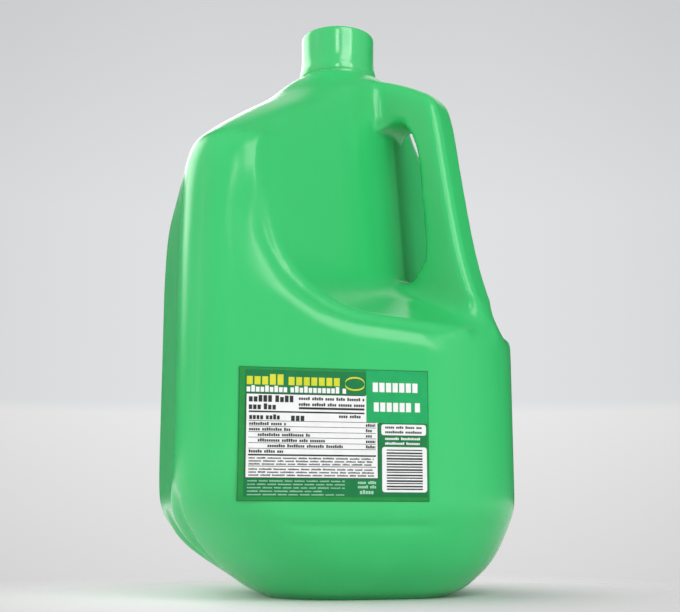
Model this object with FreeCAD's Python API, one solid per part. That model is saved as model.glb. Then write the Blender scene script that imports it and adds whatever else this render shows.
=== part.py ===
import FreeCAD, Part
import math
import os
from FreeCAD import Vector

# One-gallon blow-moulded drink jug with a corner handle, a push-on cap and a
# paper label.  The jug stands on its base at z = 0 with the neck on the z axis.
# The labelled side faces -Y.  The handle sits on the +X, -Y corner, and the jug
# is the same on both sides of the upright plane through that corner.

os.makedirs("parts", exist_ok=True)

# ---------------------------------------------------------------- main sizes
BODY_W = 150.2            # across two parallel sides
BODY_H = 237.0            # floor to the root of the neck
CORNER_R = 22.0           # the three plain upright corners
HANDLE_CORNER_R = 55.0    # the fuller upright corner under the handle

FOOT_W = 78.0             # across the flat the jug stands on
FOOT_RISE = 62.0          # height at which the rounded base reaches the sides

SIDE_TOP_Z = 134.0        # top of the truly upright sides
SHOULDER_Z = 192.0        # height of the rounded shoulder edge
NECK_ROOT_R = 20.0
NECK_D = 2.4              # neck sits this far towards the handle
FOOT_D = 9.5              # so does the flat of the foot

RECESS_DEEP = 47.1        # upright corner to the flat behind the handle, along the diagonal
RECESS_Z = 162.0          # height at which RECESS_DEEP is measured
RECESS_SPLAY = 0.195      # how far the flat falls back per mm sideways
RECESS_LEAN = 0.08        # how far the flat falls back per mm of height
LEDGE_Z = 113.3           # height of the ledge at the upright corner
LEDGE_FALL = 0.475        # fall of the ledge per mm outwards
LEDGE_SIDE_FALL = 0.31    # fall of the ledge per mm sideways

BLEND_IN = 9.0            # hollow rounding between flat and ledge at the handle
BLEND_OUT = 96.0          # the same, BLEND_REACH sideways
BLEND_REACH = 130.0
RIDGE_R = 2.6             # rounding of the ridge where the two halves meet
RIM_R = 6.0               # rounding where the recess meets the sides
RIM_TOP_Z = 202.0

GRIP_HALF = 9.5           # half the width of the grip
GRIP_ROUND = 4.5          # rounding of the outer edges of the handle
ROOT_R = 6.0              # hollow where the handle meets the body above the gap
GAP_ROUND = 1.8           # rounding of the edges round the finger gap
GAP_BOTTOM_Z = 136.5
GAP_TOP_Z = 208.0

SCALLOP_R = 46.0          # hollows between the feet on the two plain sides
SCALLOP_DEEP = 4.5
PUSH_R = 27.0             # hollow under the foot
PUSH_DEEP = 2.5

NECK_R = 15.0
NECK_H = 22.0
CAP_H = 24.0
CAP_R = 17.0
CAP_BAND_R = 18.2
CAP_CLEAR = 0.3

LABEL_W = 75.6
LABEL_H = 51.4
LABEL_X = -14.8           # middle of the label
LABEL_Z = 64.6            # middle of the label
LABEL_T = 0.25

HALF = BODY_W / 2.0
ROOT2 = math.sqrt(2.0)
CORNER_D = HALF * ROOT2 - HANDLE_CORNER_R * (ROOT2 - 1.0)  # axis to the upright corner


# ------------------------------------------------------------------- helpers
def at(d, n, z):
    """Point from distance d towards the handle corner, n sideways, z up."""
    return Vector((d + n) / ROOT2, (n - d) / ROOT2, z)


def ring(z, half, r, rh, shift):
    """Rounded square wire; the handle corner has its own radius.

    shift moves the ring along the diagonal towards the handle.
    """
    mx = shift / ROOT2
    my = -shift / ROOT2
    r = min(r, half - 0.6)
    rh = min(rh, half - 0.6)
    corners = [(half, -half, rh), (half, half, r), (-half, half, r), (-half, -half, r)]
    start_dir = [(-1, 0), (0, -1), (1, 0), (0, 1)]
    end_dir = [(0, 1), (-1, 0), (0, -1), (1, 0)]
    pts = []
    for (x, y, rad), (ax, ay), (bx, by) in zip(corners, start_dir, end_dir):
        a = Vector(mx + x + ax * rad, my + y + ay * rad, z)
        b = Vector(mx + x + bx * rad, my + y + by * rad, z)
        k = rad * (1.0 - 1.0 / ROOT2)
        sx = 1 if x > 0 else -1
        sy = 1 if y > 0 else -1
        m = Vector(mx + x - sx * k, my + y - sy * k, z)
        pts.append((a, m, b))
    edges = []
    for i, (a, m, b) in enumerate(pts):
        edges.append(Part.Arc(a, m, b).toShape())
        nxt = pts[(i + 1) % 4][0]
        edges.append(Part.makeLine(b, nxt))
    return Part.Wire(edges)


def skin(rows):
    return Part.makeLoft([ring(*row) for row in rows], True, False)


# ------------------------------------------------------------ outer envelope
def slopes(t, v):
    """Slopes that never overshoot the given values."""
    n = len(t)
    h = [t[i + 1] - t[i] for i in range(n - 1)]
    g = [(v[i + 1] - v[i]) / h[i] for i in range(n - 1)]
    m = [g[0]]
    for i in range(1, n - 1):
        if g[i - 1] * g[i] <= 0:
            m.append(0.0)
        else:
            w1 = 2 * h[i] + h[i - 1]
            w2 = h[i] + 2 * h[i - 1]
            m.append((w1 + w2) / (w1 / g[i - 1] + w2 / g[i]))
    m.append(g[-1])
    return m


def smooth_rows(rows, count):
    """Evenly spaced rows along a smooth curve through the given rows."""
    t = [0.0]
    for p, q in zip(rows, rows[1:]):
        t.append(t[-1] + math.hypot(q[0] - p[0], q[1] - p[1]))
    cols = list(zip(*rows))
    tangents = [slopes(t, c) for c in cols]
    result = []
    for k in range(count):
        u = t[-1] * k / (count - 1.0)
        i = 0
        while i < len(t) - 2 and u > t[i + 1]:
            i += 1
        h = t[i + 1] - t[i]
        w = (u - t[i]) / h
        a = (1 + 2 * w) * (1 - w) ** 2
        b = w * (1 - w) ** 2
        c = w * w * (3 - 2 * w)
        e = w * w * (w - 1)
        row = []
        for col, m in zip(cols, tangents):
            row.append(a * col[i] + b * h * m[i] + c * col[i + 1] + e * h * m[i + 1])
        result.append(tuple(row))
    return result


def grown(rows, skin_t):
    """The same rows moved outwards by a small thickness."""
    return [(z, half + skin_t, r + skin_t, rh + skin_t, sh) for z, half, r, rh, sh in rows]


def foot_rows():
    """Bowl-shaped base from the standing flat out to the sides."""
    spread = HALF - FOOT_W / 2.0
    steps = [(0.0, 0.0, 30.0, 26.0, 1.0), (0.057, 0.185, 36.0, 30.0, 0.97),
             (0.133, 0.37, 43.0, 36.0, 0.85), (0.208, 0.55, 49.0, 43.0, 0.66),
             (0.333, 0.762, 52.0, 50.0, 0.34), (0.467, 0.90, 48.0, 54.0, 0.16),
             (0.60, 0.986, CORNER_R + 16, HANDLE_CORNER_R, 0.04),
             (0.73, 1.0, CORNER_R + 7, HANDLE_CORNER_R, 0.0),
             (0.87, 1.0, CORNER_R + 2, HANDLE_CORNER_R, 0.0),
             (1.0, 1.0, CORNER_R, HANDLE_CORNER_R, 0.0)]
    rows = []
    for t, u, r, rh, move in steps:
        rows.append((FOOT_RISE * t, FOOT_W / 2.0 + spread * u, r, rh, FOOT_D * move))
    return smooth_rows(rows, 17)


def top_rows():
    """Sides leaning in, rounded shoulder edge, sloping shoulder, neck root."""
    lean = SHOULDER_Z - SIDE_TOP_Z
    rise = BODY_H - SHOULDER_Z
    rows = [(SIDE_TOP_Z, HALF, CORNER_R, HANDLE_CORNER_R, 0.0)]
    for t, inset in ((0.12, 0.0), (0.36, 0.25), (0.59, 0.9), (0.78, 2.3), (0.905, 4.7)):
        rows.append((SIDE_TOP_Z + lean * t, HALF - inset, CORNER_R, HANDLE_CORNER_R, 0.0))
    run = HALF - NECK_ROOT_R
    for t, u, r, rh in ((0.0, 0.15, 25.0, 50.0), (0.11, 0.222, 28.0, 46.0), (0.244, 0.322, 31.0, 42.0),
                        (0.378, 0.43, 33.0, 38.0), (0.52, 0.572, 31.0, 33.0),
                        (0.667, 0.71, 28.0, 28.0), (0.867, 0.875, 22.0, 22.0), (1.0, 1.0, 18.5, 18.5)):
        rows.append((SHOULDER_Z + rise * t, HALF - run * u, r, rh, NECK_D * u))
    return smooth_rows(rows, 26)


def skin_all(skin_t):
    """Whole outer envelope of the jug, grown outwards by skin_t."""
    low = skin(grown(foot_rows(), skin_t))
    mid_ring = ring(FOOT_RISE, HALF + skin_t, CORNER_R + skin_t, HANDLE_CORNER_R + skin_t, 0.0)
    mid = Part.Face(mid_ring).extrude(Vector(0, 0, SIDE_TOP_Z - FOOT_RISE))
    top = skin(grown(top_rows(), skin_t))
    return low.fuse([mid, top]).removeSplitter()


envelope = skin_all(0.0)

# --------------------------------------------- corner cut away for the handle
def floor_d(n, z):
    return CORNER_D - RECESS_DEEP - RECESS_SPLAY * abs(n) - RECESS_LEAN * (z - RECESS_Z)


def ledge_z(d, n):
    return LEDGE_Z + LEDGE_FALL * (CORNER_D - d) - LEDGE_SIDE_FALL * abs(n)


def half_recess():
    """Block outside the flat and above the ledge, on one side of the handle.

    The hollow between flat and ledge is tight at the handle and widens outwards.
    """
    far_d = 160.0
    top_z = BODY_H + 40.0
    loops = []
    for n in (0.0, BLEND_REACH):
        d0 = floor_d(n, ledge_z(0.0, n))
        d_low = d0 / (1.0 - RECESS_LEAN * LEDGE_FALL)
        loops.append([
            at(d_low, n, ledge_z(d_low, n)),
            at(far_d, n, ledge_z(far_d, n)),
            at(far_d, n, top_z),
            at(floor_d(n, top_z), n, top_z),
        ])
    p, q = loops
    quads = [p, q]
    for i in range(4):
        j = (i + 1) % 4
        quads.append([p[i], p[j], q[j], q[i]])
    solid = Part.Solid(Part.Shell([Part.Face(Part.makePolygon(k + k[:1])) for k in quads]))
    if solid.Volume < 0:
        solid.reverse()
    fold_mid = (p[0] + q[0]) * 0.5
    fold = [e for e in solid.Edges if e.CenterOfMass.sub(fold_mid).Length < 0.01]
    probe = p[0] + at(3.0, 1.0, 4.0)
    for first, last in ((BLEND_IN, BLEND_OUT), (BLEND_OUT, BLEND_IN)):
        rounded = solid.makeFillet(first, last, fold)
        if rounded.isInside(probe, 0.01, True):
            break
    return rounded


def fillet_where(shape, radius, test):
    """Round the edges whose middle passes the test, by less where the walls are too short."""
    picked = []
    for edge in shape.Edges:
        if test(edge, edge.valueAt(0.5 * (edge.FirstParameter + edge.LastParameter))):
            picked.append(edge)
    for share in (1.0, 0.8, 0.6, 0.4, 0.25, 0.15):
        try:
            rounded = shape.makeFillet(radius * share, picked)
        except Part.OCCError:
            continue
        if rounded.isValid() and abs(rounded.Volume / shape.Volume - 1.0) < 0.05:
            return rounded
    raise ValueError("no rounding up to %.1f fits these edges" % radius)


def dn(p):
    return ((p.x - p.y) / ROOT2, (p.x + p.y) / ROOT2)


half = half_recess()
recess = half.fuse(half.mirror(Vector(0, 0, 0), at(0, 1, 0))).removeSplitter()


def is_ridge(edge, p):
    """Edges in the plane of the handle, apart from those high above and far out."""
    d, n = dn(p)
    return abs(n) < 0.01 and p.z < BODY_H + 30.0 and d < 120.0


recess = fillet_where(recess, RIDGE_R, is_ridge)
body = envelope.cut(recess).removeSplitter()


def is_rim(edge, p):
    """Edge where a recess surface meets one of the outer sides."""
    d, n = dn(p)
    spot = Part.Vertex(p)
    if abs(n) < 12.0 or p.z > RIM_TOP_Z or recess.Shells[0].distToShape(spot)[0] > 0.05:
        return False
    return envelope.Shells[0].distToShape(spot)[0] < 0.05


body = fillet_where(body, RIM_R, is_rim)

# --------------------------------------------------------------------- handle
def spline_edge(points, closed=False):
    curve = Part.BSplineCurve()
    curve.interpolate([at(d, -GRIP_HALF, z) for d, z in points], PeriodicFlag=closed)
    return curve.toShape()


def line_edges(points):
    return [Part.makeLine(at(p[0], -GRIP_HALF, p[1]), at(q[0], -GRIP_HALF, q[1]))
            for p, q in zip(points, points[1:])]


outer = [(NECK_ROOT_R + 2.0, BODY_H - 0.5), (NECK_ROOT_R + 14.0, BODY_H - 6.8)]
for inset, z in ((33.1, 223.6), (26.4, 218.0), (23.4, 210.0), (20.2, 191.0), (16.7, 169.0), (12.5, 146.5),
                 (8.0, 130.0), (3.2, 116.0), (0.7, 104.0), (1.4, 92.0)):
    outer.append((CORNER_D - inset, z))
back = [outer[-1], (CORNER_D - 23.4, 84.0), (0.0, 84.0), (0.0, BODY_H - 0.5), outer[0]]
wire = Part.Wire([spline_edge(outer)] + line_edges(back))
bar = Part.Face(wire).extrude(at(0, 2.0 * GRIP_HALF, 0))
bar = fillet_where(bar, GRIP_ROUND, lambda e, p: e.Curve.TypeId == "Part::GeomBSplineCurve")
inner = []
for inset, z in ((46.7, GAP_TOP_Z), (39.9, GAP_TOP_Z - 1.0), (35.4, 201.0), (31.8, 186.0), (30.2, 166.0),
                 (29.2, 151.0), (30.2, 142.0), (34.8, GAP_BOTTOM_Z), (43.7, GAP_BOTTOM_Z - 1.5),
                 (55.7, 144.0), (59.7, 167.0), (57.7, 197.0)):
    inner.append((CORNER_D - inset, z))
hole = Part.Face(Part.Wire([spline_edge(inner, True)])).extrude(at(0, 2.0 * GRIP_HALF, 0))
bar = bar.cut(hole)


def is_gap_edge(edge, p):
    d, n = dn(p)
    return edge.Length > 140.0 and abs(abs(n) - GRIP_HALF) < 0.01 and p.z > GAP_BOTTOM_Z


bar = fillet_where(bar, GAP_ROUND, is_gap_edge)
body = body.fuse(bar)


def is_root(edge, p):
    """Edges above the finger gap where the handle runs into the flat behind it."""
    d, n = dn(p)
    on_recess = recess.Shells[0].distToShape(Part.Vertex(p))[0] < 0.05
    return on_recess and abs(abs(n) - GRIP_HALF) < 0.02 and p.z > GAP_TOP_Z


body = fillet_where(body, ROOT_R, is_root)

# ------------------------------------------------------ scallops and push-up
def scallop(side_angle):
    """Long round tool lying down the curved foot in the middle of one side."""
    mid_pt = Vector(HALF - 11.0, 0, 0.34 * FOOT_RISE)
    normal = Vector(0.69, 0, -0.72)
    run = Vector(0.72, 0, 0.69)
    start = mid_pt + normal * (SCALLOP_R - SCALLOP_DEEP) - run * 70.0
    tool = Part.makeCylinder(SCALLOP_R, 140.0, start, run)
    tool.rotate(Vector(0, 0, 0), Vector(0, 0, 1), side_angle)
    return tool


body = body.cut(scallop(90.0)).cut(scallop(180.0))
push_up = Part.makeCone(PUSH_R, PUSH_R - 4.0, PUSH_DEEP, at(FOOT_D, 0, 0))
body = body.cut(push_up)
neck = Part.makeCylinder(NECK_R, NECK_H, at(NECK_D, 0, BODY_H - 1.0))
body = body.fuse(neck)
body = body.Solids[0]
body.exportStep("parts/jug_body.step")

# ------------------------------------------------------------------------ cap
cap_z = BODY_H
top_z = cap_z + CAP_H
inner_top = BODY_H - 1.0 + NECK_H
profile = [(NECK_R + CAP_CLEAR, cap_z), (CAP_BAND_R, cap_z), (CAP_BAND_R - 0.6, cap_z + 4.6),
           (CAP_R - 0.3, cap_z + 6.0), (CAP_R - 0.3, cap_z + 6.8), (CAP_R, cap_z + 7.4),
           (CAP_R - 0.25, top_z), (0.0, top_z), (0.0, inner_top), (NECK_R + CAP_CLEAR, inner_top)]
ring_pts = [Vector(x, 0, z) for x, z in profile + profile[:1]]
cap = Part.Face(Part.makePolygon(ring_pts)).revolve(Vector(0, 0, 0), Vector(0, 0, 1), 360)
cap.translate(at(NECK_D, 0, 0))
cap = fillet_where(cap, 1.2, lambda e, p: abs(p.z - top_z) < 0.01 and e.Length > 50.0)
cap.exportStep("parts/cap.step")

# ---------------------------------------------------------------------- label
window = Part.makeBox(LABEL_W, 60.0, LABEL_H,
                      Vector(LABEL_X - LABEL_W / 2.0, -HALF - 20.0, LABEL_Z - LABEL_H / 2.0))
label = skin_all(LABEL_T).common(window).cut(envelope)
label = label.Solids[0]
label.exportStep("parts/label.step")
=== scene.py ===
import math
import random

import bmesh
import bpy
import numpy as np
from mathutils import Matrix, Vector
from mathutils.bvhtree import BVHTree
from mathutils.kdtree import KDTree


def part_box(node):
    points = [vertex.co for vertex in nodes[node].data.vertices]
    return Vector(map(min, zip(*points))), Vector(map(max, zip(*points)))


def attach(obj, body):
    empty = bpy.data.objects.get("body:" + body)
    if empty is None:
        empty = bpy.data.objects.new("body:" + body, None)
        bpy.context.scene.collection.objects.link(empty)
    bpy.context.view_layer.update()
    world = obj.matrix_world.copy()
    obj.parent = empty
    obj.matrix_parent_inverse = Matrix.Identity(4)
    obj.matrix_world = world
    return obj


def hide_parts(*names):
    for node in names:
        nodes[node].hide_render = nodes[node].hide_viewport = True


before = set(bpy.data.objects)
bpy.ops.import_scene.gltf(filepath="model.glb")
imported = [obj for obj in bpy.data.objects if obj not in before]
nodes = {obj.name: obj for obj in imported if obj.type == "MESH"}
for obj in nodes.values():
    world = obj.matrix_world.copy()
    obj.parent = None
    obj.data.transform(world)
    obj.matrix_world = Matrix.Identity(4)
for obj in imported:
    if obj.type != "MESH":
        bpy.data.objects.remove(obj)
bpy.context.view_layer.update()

MM = 0.001
ROOT2 = math.sqrt(2.0)
scene = bpy.context.scene


# ------------------------------------------------------------ node helpers
class Graph:
    """Small helper for building a node material."""

    def __init__(self, name):
        self.mat = bpy.data.materials.new(name)
        self.mat.use_nodes = True
        self.nt = self.mat.node_tree
        self.nt.nodes.clear()
        self.out = self.nt.nodes.new("ShaderNodeOutputMaterial")
        self.coord = self.nt.nodes.new("ShaderNodeTexCoord").outputs["Object"]

    def link(self, a, b):
        self.nt.links.new(a, b)

    def node(self, kind, **props):
        n = self.nt.nodes.new(kind)
        for k, v in props.items():
            setattr(n, k, v)
        return n

    def noise(self, scale, detail, rough, stretch=None):
        """Noise over the object; stretch scales its axes before that."""
        source = self.coord
        if stretch is not None:
            m = self.node("ShaderNodeMapping")
            m.inputs["Scale"].default_value = stretch
            self.link(source, m.inputs["Vector"])
            source = m.outputs["Vector"]
        n = self.node("ShaderNodeTexNoise")
        n.inputs["Scale"].default_value = scale
        n.inputs["Detail"].default_value = detail
        n.inputs["Roughness"].default_value = rough
        self.link(source, n.inputs["Vector"])
        return n.outputs["Fac"]

    def ramp(self, fac, lo, hi, a=0.0, b=1.0):
        """Runs from a to b as fac runs from lo to hi."""
        n = self.node("ShaderNodeMapRange")
        n.inputs["From Min"].default_value = lo
        n.inputs["From Max"].default_value = hi
        n.inputs["To Min"].default_value = a
        n.inputs["To Max"].default_value = b
        self.link(fac, n.inputs["Value"])
        return n.outputs["Result"]

    def mix(self, fac, a, b):
        n = self.node("ShaderNodeMix", data_type="RGBA")
        self.set(n.inputs["Factor"], fac)
        self.set(n.inputs["A"], a)
        self.set(n.inputs["B"], b)
        return n.outputs["Result"]

    def times(self, a, b):
        n = self.node("ShaderNodeMath", operation="MULTIPLY")
        self.set(n.inputs[0], a)
        self.set(n.inputs[1], b)
        return n.outputs[0]

    def set(self, socket, value):
        """Links a socket to another one, or sets its value."""
        if isinstance(value, bpy.types.NodeSocket):
            self.link(value, socket)
        elif isinstance(value, tuple) and len(value) == 3:
            socket.default_value = (*value, 1.0)
        else:
            socket.default_value = value

    def bump(self, height, strength, distance, normal=None):
        n = self.node("ShaderNodeBump")
        n.inputs["Strength"].default_value = strength
        n.inputs["Distance"].default_value = distance
        self.link(height, n.inputs["Height"])
        if normal is not None:
            self.link(normal, n.inputs["Normal"])
        return n.outputs["Normal"]

    def shader(self, color, rough, normal, **fixed):
        """Principled surface; fixed holds the values that are the same all over it."""
        p = self.node("ShaderNodeBsdfPrincipled")
        self.set(p.inputs["Base Color"], color)
        self.set(p.inputs["Roughness"], rough)
        self.link(normal, p.inputs["Normal"])
        for k, v in fixed.items():
            p.inputs[k.replace("_", " ")].default_value = v
        self.link(p.outputs["BSDF"], self.out.inputs["Surface"])


def srgb(r, g, b):
    """Linear colour of an 8-bit display colour."""
    result = []
    for v in (r, g, b):
        c = v / 255.0
        result.append(c / 12.92 if c <= 0.04045 else ((c + 0.055) / 1.055) ** 2.4)
    return tuple(result)


# --------------------------------------------------------------- materials
def green_plastic(name, specular, polish):
    """Blow-moulded plastic: clouds, upright streaks, specks, pale worn edges and a slight orange peel."""
    g = Graph(name)
    base = srgb(52, 191, 107)
    deep = srgb(48, 185, 101)
    pale = srgb(66, 201, 119)
    cloud = g.noise(7.0, 3.0, 0.5)
    streak = g.noise(60.0, 2.0, 0.6, stretch=(1.0, 1.0, 0.07))
    speck = g.noise(1300.0, 2.0, 0.6)
    color = g.mix(g.ramp(cloud, 0.35, 0.65), deep, base)
    color = g.mix(g.ramp(streak, 0.50, 0.75, 0.0, 0.22), color, pale)
    color = g.mix(g.ramp(speck, 0.62, 0.80, 0.0, 0.16), color, pale)
    edge = g.node("ShaderNodeNewGeometry").outputs["Pointiness"]
    worn = g.times(g.ramp(edge, 0.53, 0.60), g.ramp(g.noise(220.0, 3.0, 0.6), 0.40, 0.65))
    color = g.mix(g.times(worn, 0.35), color, pale)
    scuff = g.noise(90.0, 4.0, 0.7, stretch=(1.0, 1.0, 0.25))
    rough = g.ramp(scuff, 0.3, 0.75, 0.19 - polish, 0.27 - polish)
    wave = g.noise(16.0, 1.0, 0.3)
    peel = g.noise(420.0, 2.0, 0.5)
    normal = g.bump(wave, 0.30, 0.0006)
    normal = g.bump(peel, 0.12, 0.00004, normal)
    g.shader(color, rough, normal, IOR=1.5, Specular_IOR_Level=specular)
    return g.mat


def printed(name, rgb, rgb2):
    """Printed film: two close tones of one ink on a fine grain."""
    g = Graph(name)
    tone = g.noise(160.0, 4.0, 0.6)
    grain = g.noise(2600.0, 2.0, 0.5)
    color = g.mix(g.ramp(tone, 0.35, 0.65), srgb(*rgb), srgb(*rgb2))
    rough = g.ramp(g.noise(60.0, 3.0, 0.6), 0.3, 0.7, 0.36, 0.48)
    normal = g.bump(grain, 0.25, 0.00002)
    g.shader(color, rough, normal, IOR=1.45, Specular_IOR_Level=0.3)
    return g.mat


M_BODY = green_plastic("jug_green_plastic", specular=0.5, polish=0.0)
M_CAP = green_plastic("cap_green_plastic", specular=0.9, polish=0.05)
M_FIELD = printed("label_green_field", (14, 112, 60), (20, 120, 66))
M_EDGE = printed("label_green_border", (26, 132, 56), (32, 140, 62))
M_WHITE = printed("label_white", (226, 227, 226), (232, 233, 232))
M_DARK = printed("label_dark_ink", (34, 40, 38), (50, 56, 54))
M_YELLOW = printed("label_yellow", (196, 202, 40), (208, 212, 54))
M_SQUARE = printed("label_bright_green", (22, 156, 88), (28, 164, 94))
M_SMALL = printed("label_small_print", (146, 196, 164), (160, 206, 176))


# -------------------------------------------------------------- body shell
# the body and its handle, as in the CAD model, in mm
HALF = 75.1               # half the body's width
CORNER_R = 22.0           # rounding of the upright corners without a handle
HANDLE_CORNER_R = 55.0    # rounding of the corner that holds the handle
CORNER_D = 83.425         # that corner's distance from the middle, along the diagonal
LEDGE_Z = 113.3           # height of the recess's ledge there
LEDGE_FALL = 0.475        # its fall outwards, along the diagonal
LEDGE_SIDE_FALL = 0.31    # its fall to both sides
GRIP_HALF = 9.5           # half the grip's width

# the soft band round the recess's lower rim, in mm
RIM_PRESS = 2.6           # its depth
RIM_OUT = 10.0            # its reach over the body's faces
RIM_OUT_HIGH = 6.0        # what is added to that beside the recess, higher up
RIM_IN = 5.0              # its reach into the recess

# the pinched crease across the front, and the foot's folded corner, in mm
CREASE_DEPTH = 0.75
CREASE_Z = 29.0
CREASE_WIDTH = 1.4
FOLD_DEPTH = 2.6
FOLD_Y = -46.0
FOLD_Z = 35.0
FOLD_LEAN = (0.72, 0.69)  # the direction across the fold, in y and z

VOXEL = 1.25              # mesh size of the shell, in mm

# how many rounds of relaxing each place gets
RECESS_ROUNDS = 10
TOP_ROUNDS = 160
CROOK_ROUNDS = 50
RIM_ROUNDS = 10
ROOT_ROUNDS = 70
CORNER_ROUNDS = 90
LAST_ROUNDS = 4


def to_mesh(ob):
    deps = bpy.context.evaluated_depsgraph_get()
    return bpy.data.meshes.new_from_object(ob.evaluated_get(deps))


def coords(me):
    """A mesh's points, as rows of three."""
    co = np.zeros(len(me.vertices) * 3)
    me.vertices.foreach_get("co", co)
    return co.reshape(-1, 3)


def relax(co, edges, weight, rounds):
    """Moves each point towards the middle of its neighbours, by half the way times its weight."""
    a, b = edges[:, 0], edges[:, 1]
    n = len(co)
    count = np.bincount(a, minlength=n) + np.bincount(b, minlength=n)
    count = np.maximum(count, 1)
    for _ in range(rounds):
        for k in range(3):
            col = co[:, k]
            total = np.bincount(a, col[b], n) + np.bincount(b, col[a], n)
            co[:, k] = col + 0.5 * weight * (total / count - col)
    return co


def smoothstep(lo, hi, v):
    t = np.clip((v - lo) / (hi - lo), 0.0, 1.0)
    return t * t * (3.0 - 2.0 * t)


def fade(lo, hi, v):
    return 1.0 - smoothstep(lo, hi, v)


def between(lo, full, end, hi, v):
    """Rises from lo to full, stays 1 up to end and falls to nothing at hi."""
    return smoothstep(lo, full, v) * fade(end, hi, v)


def hollow(v, width):
    return np.exp(-0.5 * (v / width) ** 2)


def diagonal(x, y):
    """Place along the handle's plane, outwards, and place to the side of it."""
    return (x - y) / ROOT2, (x + y) / ROOT2


def pressed(x, y, z):
    """Depth in mm of the faint marks that the mould leaves, for points on the body."""
    # a pinched crease across the front, under the label
    depth = CREASE_DEPTH * hollow(z - CREASE_Z, CREASE_WIDTH) * smoothstep(-71.0, -73.0, y)
    depth = depth * smoothstep(-46.0, -32.0, x) * fade(20.0, 34.0, x)
    # the foot's folded corner, on both sides of the handle's plane
    over = (x + y) > 0.0
    xm = np.where(over, -y, x)
    ym = np.where(over, -x, y)
    lean_y, lean_z = FOLD_LEAN
    across = (ym - FOLD_Y) * lean_y + (z - FOLD_Z) * lean_z
    along = (ym - FOLD_Y) * lean_z - (z - FOLD_Z) * lean_y
    fold = between(-1.2, 1.0, 2.5, 12.0, across)
    fold *= between(-12.0, 2.0, 22.0, 34.0, along)
    return depth + FOLD_DEPTH * fold * (xm < -40.0)


def sunk_in(x, y):
    """How far in mm a point lies inside the square outline with its rounded corners."""
    flat = np.minimum(y + HALF, HALF - x)
    for radius, sx in ((HANDLE_CORNER_R, 1.0), (CORNER_R, -1.0)):
        c = HALF - radius
        inside = (sx * x > c) & (y < -c)
        flat = np.where(inside, radius - np.hypot(sx * x - c, y + c), flat)
    inside = (x > HALF - CORNER_R) & (y > HALF - CORNER_R)
    c = HALF - CORNER_R
    return np.where(inside, CORNER_R - np.hypot(x - c, y - c), flat)


def rim_press(co):
    """Depth in mm that turns the recess's lower rim into a broad soft band, for points in metres."""
    x, y, z = (co[:, k] / MM for k in range(3))
    d, n = diagonal(x, y)
    sunk = sunk_in(x, y)
    zone = (d > 14.0) & (z > 94.0) & (z < 178.0) & (np.abs(n) > 14.0)
    # the rim's line is where the surface has just left the body's outline
    line = np.flatnonzero(zone & (sunk > 0.9) & (sunk < 2.1))
    tree = KDTree(len(line))
    for i in line:
        tree.insert(Vector(co[i]), int(i))
    tree.balance()
    depth = np.zeros(len(co))
    reach = RIM_OUT + RIM_OUT_HIGH * smoothstep(116.0, 138.0, z)
    for i in np.flatnonzero(zone & (sunk < 14.0)):
        away = tree.find(Vector(co[i]))[2] / MM
        if sunk[i] < 1.5:
            depth[i] = max(0.0, 1.0 - away / reach[i]) ** 1.6
        else:
            depth[i] = max(0.0, 1.0 - away / RIM_IN) ** 2
    depth *= fade(146.0, 168.0, z) * smoothstep(20.0, 34.0, np.abs(n))
    return RIM_PRESS * depth


def push_in(me, co, depth):
    """Moves each point inwards, against its normal, by depth in mm."""
    me.vertices.foreach_set("co", co.ravel())
    me.update()
    normals = np.zeros(len(co) * 3)
    me.vertices.foreach_get("normal", normals)
    co -= normals.reshape(-1, 3) * (depth * MM)[:, None]
    return co


def even_mesh(src, name):
    """A copy of a CAD node with even, fine faces, from a voxel remesh; returns object and mesh."""
    ob = bpy.data.objects.new(name, src.data.copy())
    scene.collection.objects.link(ob)
    mod = ob.modifiers.new("Remesh", "REMESH")
    mod.mode = "VOXEL"
    mod.voxel_size = VOXEL * MM
    me = to_mesh(ob)
    ob.modifiers.clear()
    ob.data = me
    return ob, me


def on_surface(co, src):
    """Moves each point to the nearest place on the CAD node."""
    tree = BVHTree.FromPolygons([v.co.copy() for v in src.data.vertices],
                                [tuple(p.vertices) for p in src.data.polygons])
    for i in range(len(co)):
        hit = tree.find_nearest(Vector(co[i]))
        if hit[0] is not None:
            co[i] = hit[0]
    return co


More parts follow.
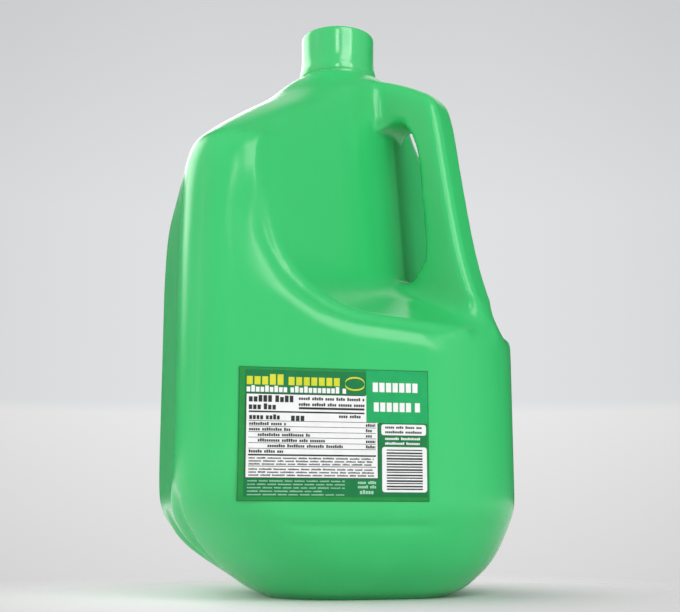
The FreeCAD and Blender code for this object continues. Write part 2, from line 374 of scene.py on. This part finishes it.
def soften(me, co, edges):
    """Softens the CAD shape's edges where the moulded one has none."""
    x, y, z = (co[:, k] / MM for k in range(3))
    d, n = diagonal(x, y)
    side = np.abs(n)
    recess = between(104.0, 118.0, 214.0, 230.0, z) * smoothstep(4.0, 14.0, d)
    grip = fade(15.0, 21.0, side) * smoothstep(23.0, 28.0, d)
    # the recess's upright edge, the one away from the handle, stays crisp
    line = between(10.0, 13.0, 24.0, 30.0, d) * smoothstep(140.0, 152.0, z)
    line *= fade(186.0, 194.0, z)
    # the recess's other edges
    co = relax(co, edges, recess * (1.0 - grip) * (1.0 - line), RECESS_ROUNDS)
    # above, the recess runs out into the shoulder without an edge
    top = between(176.0, 190.0, 212.0, 226.0, z) * smoothstep(0.0, 12.0, d)
    co = relax(co, edges, top * (1.0 - grip) * (1.0 - line), TOP_ROUNDS)
    # the handle's upper end flows into the shoulder
    crook = between(206.0, 213.0, 222.0, 230.0, z) * smoothstep(0.0, 12.0, d)
    crook *= fade(48.0, 58.0, d) * grip
    co = relax(co, edges, crook, CROOK_ROUNDS)
    # the lower rim is a broad soft band
    press = rim_press(co)
    co = push_in(me, co, press)
    co = relax(co, edges, np.clip(press, 0.0, 1.0), RIM_ROUNDS)
    # the handle's root grows out of the ledge in a soft curve
    ledge = LEDGE_Z + LEDGE_FALL * (CORNER_D - d) - LEDGE_SIDE_FALL * side
    root = fade(4.0, 11.0, np.abs(z - ledge))
    root *= fade(5.0, 11.0, np.abs(side - GRIP_HALF))
    root *= smoothstep(36.0, 44.0, d)
    co = relax(co, edges, root, ROOT_ROUNDS)
    # the two upright corners beside the handle's one are softly rounded, up to the shoulder
    corner = smoothstep(80.0, 91.0, side) * smoothstep(10.0, 26.0, z) * fade(150.0, 186.0, z)
    co = relax(co, edges, corner, CORNER_ROUNDS)
    # all of it a little, less at the crisp edge and the grip, and not under the foot or at the neck
    gentle = 0.6 * np.ones(len(co))
    gentle[z < 3.0] = 0.0
    gentle *= fade(232.0, 236.0, z)
    gentle *= 1.0 - 0.8 * line
    gentle *= 1.0 - 0.8 * grip * smoothstep(128.0, 134.0, z) * fade(206.0, 212.0, z)
    return relax(co, edges, gentle, LAST_ROUNDS)


def body_shell():
    src = nodes["jug_body"]
    ob, me = even_mesh(src, "jug_shell")
    co = on_surface(coords(me), src)
    edges = np.zeros(len(me.edges) * 2, dtype=np.int64)
    me.edges.foreach_get("vertices", edges)
    co = soften(me, co, edges.reshape(-1, 2))
    x, y, z = (co[:, k] / MM for k in range(3))
    co = push_in(me, co, pressed(x, y, z))
    me.vertices.foreach_set("co", co.ravel())
    me.update()
    me.polygons.foreach_set("use_smooth", [True] * len(me.polygons))
    me.materials.clear()
    me.materials.append(M_BODY)
    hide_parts("jug_body")
    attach(ob, "root")


body_shell()

# --------------------------------------------------------------------- cap
# the push-on cap's outline from the middle of its top down to its rim and up inside, as radius and
# depth below the top, in mm
CAP_TOP = 261.0
CAP_OUTLINE = ((0.0, 0.0), (8.0, 0.0), (14.6, 0.05), (16.3, 0.35), (17.1, 1.1), (17.3, 2.2), (17.25, 6.0),
               (17.2, 11.0), (17.3, 14.5), (17.6, 17.0), (17.95, 18.6), (18.12, 19.6), (18.14, 21.6),
               (17.9, 22.1), (17.95, 22.7), (18.1, 23.3), (17.9, 23.85), (16.2, 23.95), (15.6, 23.2),
               (15.6, 12.0), (0.0, 12.0))
CAP_STEPS = 4             # points for each stretch of the outline
CAP_TURNS = 96            # points round the cap
CAP_PULL = 0.35           # how strongly the curve follows its neighbours' direction


def smooth_outline(points, steps):
    """Points on a smooth curve through the outline's points."""
    made = []
    last = len(points) - 1
    for i in range(last):
        p0, p1, p2, p3 = (points[min(max(i + k, 0), last)] for k in (-1, 0, 1, 2))
        for j in range(steps):
            t = j / steps
            row = []
            for k in range(2):
                m1 = CAP_PULL * (p2[k] - p0[k])
                m2 = CAP_PULL * (p3[k] - p1[k])
                row.append((2 * t ** 3 - 3 * t ** 2 + 1) * p1[k] + (t ** 3 - 2 * t ** 2 + t) * m1
                           + (3 * t ** 2 - 2 * t ** 3) * p2[k] + (t ** 3 - t ** 2) * m2)
            made.append(row)
    made.append(points[-1])
    return made


def cap_shell():
    lo_cap, hi_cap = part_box("cap")
    cx, cy = (lo_cap.x + hi_cap.x) / 2, (lo_cap.y + hi_cap.y) / 2
    outline = smooth_outline(CAP_OUTLINE, CAP_STEPS)
    bm = bmesh.new()
    rings = []
    for r, drop in outline[1:-1]:
        ring = []
        for k in range(CAP_TURNS):
            a = 2 * math.pi * k / CAP_TURNS
            x, y = cx + r * MM * math.cos(a), cy + r * MM * math.sin(a)
            ring.append(bm.verts.new((x, y, (CAP_TOP - drop) * MM)))
        rings.append(ring)
    for upper, lower in zip(rings, rings[1:]):
        for k in range(CAP_TURNS):
            m = (k + 1) % CAP_TURNS
            bm.faces.new((upper[k], lower[k], lower[m], upper[m]))
    for ring, drop in ((rings[0], 0.0), (rings[-1], CAP_OUTLINE[-1][1])):
        tip = bm.verts.new((cx, cy, (CAP_TOP - drop) * MM))
        for k in range(CAP_TURNS):
            bm.faces.new((ring[k], ring[(k + 1) % CAP_TURNS], tip))
    bmesh.ops.recalc_face_normals(bm, faces=bm.faces)
    me = bpy.data.meshes.new("cap_shell")
    bm.to_mesh(me)
    bm.free()
    me.polygons.foreach_set("use_smooth", [True] * len(me.polygons))
    me.materials.append(M_CAP)
    ob = bpy.data.objects.new("cap_shell", me)
    scene.collection.objects.link(ob)
    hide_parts("cap")
    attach(ob, "root")


cap_shell()

# ------------------------------------------------------------------- label
# greeked: fields of colour, blocks and rules that can't be read, laid out in fractions of the label
PATCH_WIDE = 0.025        # widest and tallest face of a patch, as a fraction of the label
PATCH_TALL = 0.02
ARC_STEPS = 6             # steps of a round corner
BLOCK_WIDE = 0.56         # a block's width, and how much lower most blocks are, as fractions of its height
BLOCK_DROP = 0.22
BLOCK_PITCH = 1.30        # from one block to the next, as a fraction of its width
SUNK = 0.03 * MM          # how far a patch's back lies inside the label

label = nodes["label"]
for slot in label.material_slots:
    slot.material = M_FIELD
label_lo, label_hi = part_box("label")
label_tree = BVHTree.FromPolygons([v.co.copy() for v in label.data.vertices],
                                  [tuple(p.vertices) for p in label.data.polygons])


def on_label(u, v, lift):
    """Point on the front of the label, u to the right and v down from its top left corner."""
    x = label_lo.x + (label_hi.x - label_lo.x) * min(max(u, 0.004), 0.996)
    z = label_hi.z - (label_hi.z - label_lo.z) * min(max(v, 0.006), 0.994)
    hit = label_tree.ray_cast(Vector((x, label_lo.y - 0.05, z)), Vector((0, 1, 0)))
    return hit[0] - Vector((0, lift, 0))


class Print:
    """One colour of the print: thin closed patches that follow the label."""

    def __init__(self, name, material, lift):
        self.bm = bmesh.new()
        self.name = name
        self.material = material
        self.lift = lift

    def patch(self, columns, rows=1):
        """columns is a list of (u, v at the top, v at the bottom)."""
        front = []
        back = []
        for u, v0, v1 in columns:
            for j in range(rows + 1):
                v = v0 + (v1 - v0) * j / rows
                front.append(self.bm.verts.new(on_label(u, v, self.lift)))
                back.append(self.bm.verts.new(on_label(u, v, -SUNK)))
        step = rows + 1
        last = len(columns) - 1
        for i in range(last):
            for j in range(rows):
                a, b = i * step + j, (i + 1) * step + j
                self.bm.faces.new([front[a], front[a + 1], front[b + 1], front[b]])
                self.bm.faces.new([back[a], back[b], back[b + 1], back[a + 1]])
            a, b = i * step, (i + 1) * step
            self.bm.faces.new([front[a], front[b], back[b], back[a]])
            a, b = a + rows, b + rows
            self.bm.faces.new([front[b], front[a], back[a], back[b]])
        for j in range(rows):
            self.bm.faces.new([front[j + 1], front[j], back[j], back[j + 1]])
            k = last * step + j
            self.bm.faces.new([front[k], front[k + 1], back[k + 1], back[k]])

    def bar(self, u0, v0, u1, v1):
        wide = max(1, math.ceil((u1 - u0) / PATCH_WIDE))
        tall = max(1, math.ceil((v1 - v0) / PATCH_TALL))
        self.patch([(u0 + (u1 - u0) * i / wide, v0, v1) for i in range(wide + 1)], tall)

    def bars(self, rows):
        for u0, v0, u1, v1 in rows:
            self.bar(u0, v0, u1, v1)

    def rounded(self, u0, v0, u1, v1, r):
        """Box with round corners; r is a fraction of the label's width."""
        rv = r * (label_hi.x - label_lo.x) / (label_hi.z - label_lo.z)
        cols = []
        for k in range(ARC_STEPS + 1):
            a = math.pi / 2 * k / ARC_STEPS
            cols.append((u0 + r * (1 - math.cos(a)), rv * (1 - math.sin(a))))
        inner = [(u0 + r + (u1 - u0 - 2 * r) * k / 4, 0.0) for k in range(1, 4)]
        mirror = [(u0 + u1 - u, dv) for u, dv in reversed(cols)]
        tall = max(2, math.ceil((v1 - v0) / PATCH_TALL))
        self.patch([(u, v0 + dv, v1 - dv) for u, dv in cols + inner + mirror], tall)

    def words(self, u0, v0, u1, v1, seed, word, gap=0.010, even=False):
        """A greeked line: words of plain blocks, some lower than others."""
        rng = random.Random(seed)
        tall = v1 - v0
        block = tall * BLOCK_WIDE * (label_hi.z - label_lo.z) / (label_hi.x - label_lo.x)
        u = u0
        while u < u1 - block:
            end = min(u + word * rng.uniform(0.6, 1.4), u1)
            while u < end - 0.5 * block:
                drop = rng.choice((0.0, BLOCK_DROP, BLOCK_DROP, BLOCK_DROP)) * tall * (not even)
                self.patch([(u, v0 + drop, v1), (min(u + block, u1), v0 + drop, v1)])
                u += block * BLOCK_PITCH
            u += gap

    def done(self):
        me = bpy.data.meshes.new(self.name)
        bmesh.ops.recalc_face_normals(self.bm, faces=self.bm.faces)
        self.bm.to_mesh(me)
        self.bm.free()
        me.materials.append(self.material)
        ob = bpy.data.objects.new(self.name, me)
        scene.collection.objects.link(ob)
        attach(ob, "root")


def print_border(edge):
    edge.bars([(0.0, 0.0, 1.0, 0.022), (0.0, 0.968, 1.0, 1.0),
               (0.0, 0.022, 0.030, 0.968), (0.990, 0.022, 1.0, 0.968)])


def print_heading(yellow, white):
    """Two lines of blocks, and a plain oval ring beside them."""
    yellow.words(0.04, 0.055, 0.54, 0.135, 3, word=0.24, gap=0.018)
    white.words(0.04, 0.142, 0.57, 0.190, 5, word=0.20, gap=0.012)
    middle, radius, steps = 0.605, 0.052, 12
    ring = []
    for k in range(steps + 1):
        a = math.pi * k / steps
        ring.append((middle - radius * math.cos(a), radius * math.sin(a) ** 0.8))
    for (ua, ha), (ub, hb) in zip(ring, ring[1:]):
        yellow.patch([(ua, 0.112 - ha, 0.124 - ha), (ub, 0.112 - hb, 0.124 - hb)])
        yellow.patch([(ua, 0.108 + 0.9 * ha, 0.120 + 0.9 * ha), (ub, 0.108 + 0.9 * hb, 0.120 + 0.9 * hb)])


def print_panel(white, dark):
    """The table of facts: a white field with rules and lines of blocks."""
    white.bar(0.036, 0.200, 0.728, 0.832)
    dark.bars([(0.036, 0.200, 0.660, 0.206), (0.036, 0.826, 0.728, 0.832), (0.036, 0.206, 0.040, 0.826),
               (0.724, 0.412, 0.728, 0.826)])
    dark.words(0.052, 0.215, 0.290, 0.265, 7, word=0.13, gap=0.012)
    dark.words(0.052, 0.277, 0.200, 0.322, 8, word=0.08, gap=0.010)
    dark.words(0.310, 0.222, 0.655, 0.246, 9, word=0.06)
    dark.words(0.310, 0.266, 0.655, 0.290, 10, word=0.06)
    dark.bar(0.310, 0.300, 0.655, 0.316)
    dark.bar(0.052, 0.332, 0.655, 0.344)
    dark.words(0.055, 0.358, 0.220, 0.396, 11, word=0.08)
    dark.words(0.270, 0.354, 0.340, 0.404, 12, word=0.07)
    dark.words(0.520, 0.352, 0.655, 0.376, 13, word=0.05)
    rows = ((0.412, 0.055, 0.250), (0.453, 0.055, 0.270), (0.494, 0.100, 0.370), (0.535, 0.100, 0.450),
            (0.576, 0.150, 0.540), (0.617, 0.055, 0.230))
    for k, (v, u0, u1) in enumerate(rows):
        dark.bar(0.052, v - 0.007, 0.715, v - 0.003)
        dark.words(u0, v + 0.004, u1, v + 0.027, 20 + k, word=0.08)
        if k < 5:
            dark.words(0.662, v + 0.004, 0.712, v + 0.027, 30 + k, word=0.05)
    dark.bar(0.052, 0.654, 0.715, 0.666)
    for v in (0.676, 0.698, 0.720, 0.758, 0.780, 0.802):
        dark.words(0.055, v, 0.705, v + 0.013, int(1000 * v), word=0.050, gap=0.009)
    dark.bar(0.052, 0.741, 0.715, 0.746)


def print_small_lines(small):
    """Fine lines under the panel."""
    for k in range(5):
        v = 0.846 + 0.025 * k
        small.words(0.050, v, 0.550 - 0.12 * (k == 3), v + 0.010, 50 + k, word=0.05, gap=0.009)
    small.words(0.620, 0.848, 0.720, 0.870, 60, word=0.05)
    small.words(0.620, 0.880, 0.715, 0.902, 61, word=0.05)
    small.words(0.630, 0.915, 0.720, 0.945, 62, word=0.05)


def print_square(square, over):
    """A bright square with two bold lines, over the panel's corner."""
    square.bar(0.665, 0.0, 1.0, 0.408)
    over.words(0.700, 0.100, 0.955, 0.172, 70, word=0.24, gap=0.014, even=True)
    over.words(0.705, 0.252, 0.955, 0.322, 71, word=0.24, gap=0.014, even=True)


def print_boxes(white, dark, over):
    """White boxes at the right, the lower one with stripes."""
    white.rounded(0.745, 0.418, 0.985, 0.500, 0.012)
    dark.words(0.765, 0.430, 0.965, 0.450, 80, word=0.06)
    dark.words(0.765, 0.466, 0.965, 0.486, 81, word=0.10)
    over.words(0.765, 0.517, 0.970, 0.536, 82, word=0.10)
    over.words(0.765, 0.553, 0.950, 0.572, 83, word=0.10)
    white.rounded(0.748, 0.590, 0.988, 0.930, 0.014)
    stripes = 15
    pitch = (0.918 - 0.604) / stripes
    for k in range(stripes):
        v = 0.604 + pitch * (k + 0.25)
        thick = pitch * (0.38, 0.55, 0.46, 0.62)[k % 4]
        dark.bar(0.772, v, 0.964, v + thick)


def print_label():
    edge = Print("print_border", M_EDGE, 0.05 * MM)
    white = Print("print_white", M_WHITE, 0.06 * MM)
    dark = Print("print_dark", M_DARK, 0.10 * MM)
    yellow = Print("print_yellow", M_YELLOW, 0.06 * MM)
    square = Print("print_green_square", M_SQUARE, 0.09 * MM)
    over = Print("print_white_over", M_WHITE, 0.12 * MM)
    small = Print("print_small", M_SMALL, 0.06 * MM)
    print_border(edge)
    print_heading(yellow, white)
    print_panel(white, dark)
    print_small_lines(small)
    print_square(square, over)
    print_boxes(white, dark, over)
    for colour in (edge, white, dark, yellow, square, over, small):
        colour.done()


print_label()

# ------------------------------------------------------------------- stage
# the floor fades into the backdrop, for the camera only, between these distances from the middle, in m
FLOOR_NEAR = 0.085
FLOOR_FAR = 0.20
FLOOR_HALF = 4.0


def stage_material():
    """A pale floor that takes the object's shadow near it."""
    g = Graph("pale_stage")
    tint = g.mix(g.ramp(g.noise(1.2, 2.0, 0.5), 0.3, 0.7), srgb(229, 224, 228), srgb(231, 226, 230))
    diff = g.node("ShaderNodeBsdfDiffuse")
    g.link(tint, diff.inputs["Color"])
    clear = g.node("ShaderNodeBsdfTransparent")
    distance = g.node("ShaderNodeVectorMath", operation="LENGTH")
    g.link(g.coord, distance.inputs[0])
    gone = g.ramp(distance.outputs["Value"], FLOOR_NEAR, FLOOR_FAR)
    path = g.node("ShaderNodeLightPath")
    mixer = g.node("ShaderNodeMixShader")
    g.link(g.times(gone, path.outputs["Is Camera Ray"]), mixer.inputs["Fac"])
    g.link(diff.outputs[0], mixer.inputs[1])
    g.link(clear.outputs[0], mixer.inputs[2])
    g.link(mixer.outputs[0], g.out.inputs["Surface"])
    return g.mat


def build_stage():
    me = bpy.data.meshes.new("stage_floor")
    bm = bmesh.new()
    s = FLOOR_HALF
    bm.faces.new([bm.verts.new(p) for p in ((-s, -s, 0), (s, -s, 0), (s, s, 0), (-s, s, 0))])
    bm.to_mesh(me)
    bm.free()
    floor = bpy.data.objects.new("stage_floor", me)
    scene.collection.objects.link(floor)
    me.materials.append(stage_material())


build_stage()

# ------------------------------------------------------------------- world
# a pale table and a pale wall behind it: greys by the height of the line of sight, as its sine
TABLE_EDGE = 0.10
BACKDROP = ((-0.08, 216), (0.09, 233), (TABLE_EDGE, 225), (0.26, 225), (0.43, 211))
BACKDROP_LOW = -0.1
BACKDROP_HIGH = 0.5
BACKDROP_SIDE = 0.925     # the backdrop's strength at its sides

# strengths of the light that comes from all round
AMBIENT = 0.46
AMBIENT_LEFT = 2.4
AMBIENT_RIGHT = 0.05      # its share that is left from behind at the right
SHEEN = 0.55              # what the plastic reflects
SHEEN_BEHIND = 0.06
SHEEN_TOP = 1.0
SHEEN_LEFT = 3.2

YAW = math.radians(12.0)
FORWARD = (math.sin(YAW), math.cos(YAW), 0.0)
TO_TOP = (0.30, 0.68, 0.67)
TO_LEFT = (-0.62, 0.62, 0.48)
TO_BACK_LEFT = (-0.87, 0.5, 0.0)
TO_BACK_RIGHT = (0.707, 0.707, 0.0)


class Sky:
    """Small helper for building the world's nodes."""

    def __init__(self, name):
        world = bpy.data.worlds.new(name)
        scene.world = world
        world.use_nodes = True
        self.nt = world.node_tree
        self.nt.nodes.clear()
        self.ray = self.node("ShaderNodeTexCoord").outputs["Generated"]

    def node(self, kind, **props):
        made = self.nt.nodes.new(kind)
        for k, v in props.items():
            setattr(made, k, v)
        return made

    def link(self, a, b):
        self.nt.links.new(a, b)

    def span(self, value, lo, hi, a, b, kind="SMOOTHSTEP"):
        """Runs from a to b as value runs from lo to hi."""
        made = self.node("ShaderNodeMapRange", interpolation_type=kind)
        for key, v in zip(("From Min", "From Max", "To Min", "To Max"), (lo, hi, a, b)):
            made.inputs[key].default_value = v
        self.link(value, made.inputs["Value"])
        return made.outputs["Result"]

    def lean(self, vector, direction):
        """How far a vector points in a direction."""
        made = self.node("ShaderNodeVectorMath", operation="DOT_PRODUCT")
        made.inputs[1].default_value = direction
        self.link(vector, made.inputs[0])
        return made.outputs["Value"]

    def combine(self, operation, a, b):
        made = self.node("ShaderNodeMath", operation=operation)
        self.link(a, made.inputs[0])
        self.link(b, made.inputs[1])
        return made.outputs[0]

    def background(self, strength):
        made = self.node("ShaderNodeBackground")
        made.inputs["Color"].default_value = (1.0, 1.0, 1.0, 1.0)
        self.link(strength, made.inputs["Strength"])
        return made

    def choose(self, fac, a, b):
        made = self.node("ShaderNodeMixShader")
        self.link(fac, made.inputs["Fac"])
        self.link(a.outputs[0], made.inputs[1])
        self.link(b.outputs[0], made.inputs[2])
        return made


def backdrop(sky):
    """What the camera sees behind the object."""
    split = sky.node("ShaderNodeSeparateXYZ")
    sky.link(sky.ray, split.inputs[0])
    band = sky.node("ShaderNodeValToRGB")
    stops = band.color_ramp.elements
    while len(stops) < len(BACKDROP):
        stops.new(0.5)
    for stop, (height, level) in zip(stops, BACKDROP):
        stop.position = (height - BACKDROP_LOW) / (BACKDROP_HIGH - BACKDROP_LOW)
    for stop, (height, level) in zip(stops, BACKDROP):
        cool = height >= TABLE_EDGE
        stop.color = (*srgb(level - cool, level, level + 2 * cool), 1.0)
    place = sky.span(split.outputs[2], BACKDROP_LOW, BACKDROP_HIGH, 0.0, 1.0, "LINEAR")
    sky.link(place, band.inputs["Fac"])
    flat = sky.node("ShaderNodeCombineXYZ")
    sky.link(split.outputs[0], flat.inputs[0])
    sky.link(split.outputs[1], flat.inputs[1])
    unit = sky.node("ShaderNodeVectorMath", operation="NORMALIZE")
    sky.link(flat.outputs[0], unit.inputs[0])
    side = sky.span(sky.lean(unit.outputs[0], FORWARD), 0.957, 0.992, BACKDROP_SIDE, 1.0, "LINEAR")
    show = sky.background(side)
    sky.link(band.outputs["Color"], show.inputs["Color"])
    return show


def build_world():
    sky = Sky("studio")
    ahead = sky.span(sky.lean(sky.ray, FORWARD), -0.2, 0.6, SHEEN, SHEEN_BEHIND)
    top = sky.span(sky.lean(sky.ray, TO_TOP), 0.90, 0.995, 0.0, SHEEN_TOP)
    left = sky.span(sky.lean(sky.ray, TO_LEFT), 0.92, 0.99, 0.0, SHEEN_LEFT)
    sheen = sky.background(sky.combine("ADD", sky.combine("ADD", ahead, top), left))
    around = sky.span(sky.lean(sky.ray, TO_BACK_LEFT), 0.2, 0.7, AMBIENT, AMBIENT_LEFT)
    dim = sky.span(sky.lean(sky.ray, TO_BACK_RIGHT), 0.40, 0.85, 1.0, AMBIENT_RIGHT)
    light = sky.background(sky.combine("MULTIPLY", around, dim))
    path = sky.node("ShaderNodeLightPath")
    soft = sky.choose(path.outputs["Is Glossy Ray"], light, sheen)
    pick = sky.choose(path.outputs["Is Camera Ray"], soft, backdrop(sky))
    out = sky.node("ShaderNodeOutputWorld")
    sky.link(pick.outputs[0], out.inputs["Surface"])


build_world()

# ------------------------------------------------------------------ lights
MIDDLE = (0.0, 0.0, 0.13)
# name, place, target, width and height in m, watts, and whether the plastic reflects it
LIGHTS = (("key", (1.0, -1.7, 1.0), MIDDLE, 0.16, 0.8, 1.8, True),
          ("left_strip", (-1.3, -0.25, 0.35), MIDDLE, 0.06, 0.9, 0.2, True),
          ("front_strip", (-0.42, -1.82, 1.02), (0.0, 0.0, 0.25), 0.26, 0.4, 2.2, True),
          ("rim", (-0.3, 1.5, 0.95), MIDDLE, 0.9, 0.5, 4.5, True),
          ("fill_right", (1.5, -1.5, 0.5), MIDDLE, 1.2, 1.0, 11.0, False),
          ("fill_low", (-0.25, -1.7, 0.12), (0.0, 0.0, 0.05), 1.2, 0.2, 2.2, False),
          ("high", (0.33, -1.18, 1.07), (0.0, -0.07, 0.11), 0.7, 0.75, 6.2, True))


def area(name, place, target, width, height, watts, glossy):
    data = bpy.data.lights.new(name, "AREA")
    data.shape = "RECTANGLE"
    data.size = width
    data.size_y = height
    data.energy = watts
    ob = bpy.data.objects.new(name, data)
    scene.collection.objects.link(ob)
    ob.location = place
    ob.rotation_euler = (Vector(target) - Vector(place)).to_track_quat("-Z", "Y").to_euler()
    ob.visible_camera = False
    ob.visible_glossy = glossy


for light in LIGHTS:
    area(*light)

# ------------------------------------------------------------------ camera
# fitted to the object's outline, in m and mm
CAMERA_PLACE = (-0.1055, -0.5112, 0.0320)
CAMERA_LENS = 60.46
PITCH = math.radians(10.6)

look = Vector((math.sin(YAW) * math.cos(PITCH), math.cos(YAW) * math.cos(PITCH), math.sin(PITCH)))
cam_data = bpy.data.cameras.new("camera")
cam_data.sensor_width = 36.0
cam_data.sensor_fit = "HORIZONTAL"
cam_data.lens = CAMERA_LENS
cam = bpy.data.objects.new("camera", cam_data)
scene.collection.objects.link(cam)
cam.location = CAMERA_PLACE
cam.rotation_euler = look.to_track_quat("-Z", "Y").to_euler()
scene.camera = cam

scene.view_settings.view_transform = "Standard"
